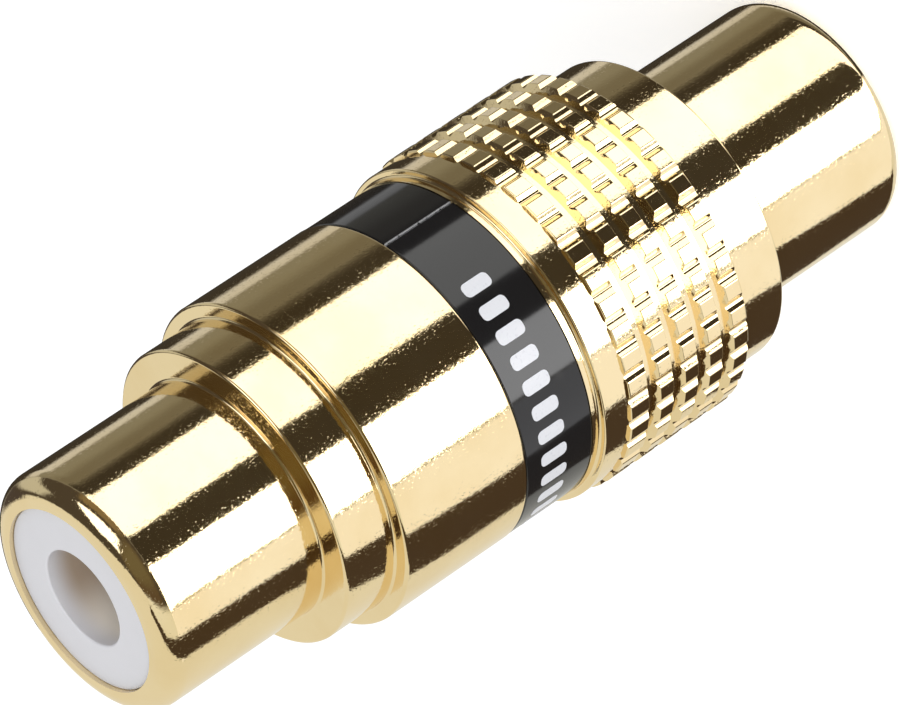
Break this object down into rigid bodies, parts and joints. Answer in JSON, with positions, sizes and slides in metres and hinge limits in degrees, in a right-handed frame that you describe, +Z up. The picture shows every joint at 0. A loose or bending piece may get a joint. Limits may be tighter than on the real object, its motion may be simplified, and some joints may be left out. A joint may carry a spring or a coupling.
{
  "type": "rca coupler",
  "caption": "Straight female to female phono coupler: a plated, knurled turned shell with a jack barrel at each end, white insulators and a dark band round its waist.",
  "frame": {"origin": "centre of the lower mouth, on the surface that the coupler stands on", "axes": "+Z up along the coupler's axis, from the barrel below the knurl to the barrel above the collar; -Y is the side that faces the picture's camera"},
  "size_m": [0.0122, 0.0122, 0.0314],
  "materials": {
    "shell_plating": "polished gold plating on brass",
    "band_plastic": "glossy near-black plastic",
    "insulator_plastic": "smooth cool white plastic",
    "contact_plating": "gold plating on brass"
  },
  "bodies": {
    "root": {"shell": "shell_plating", "label_band": "band_plastic", "upper_insulator": "insulator_plastic", "lower_insulator": "insulator_plastic", "centre_contact": "contact_plating"}
  },
  "joints": []
}
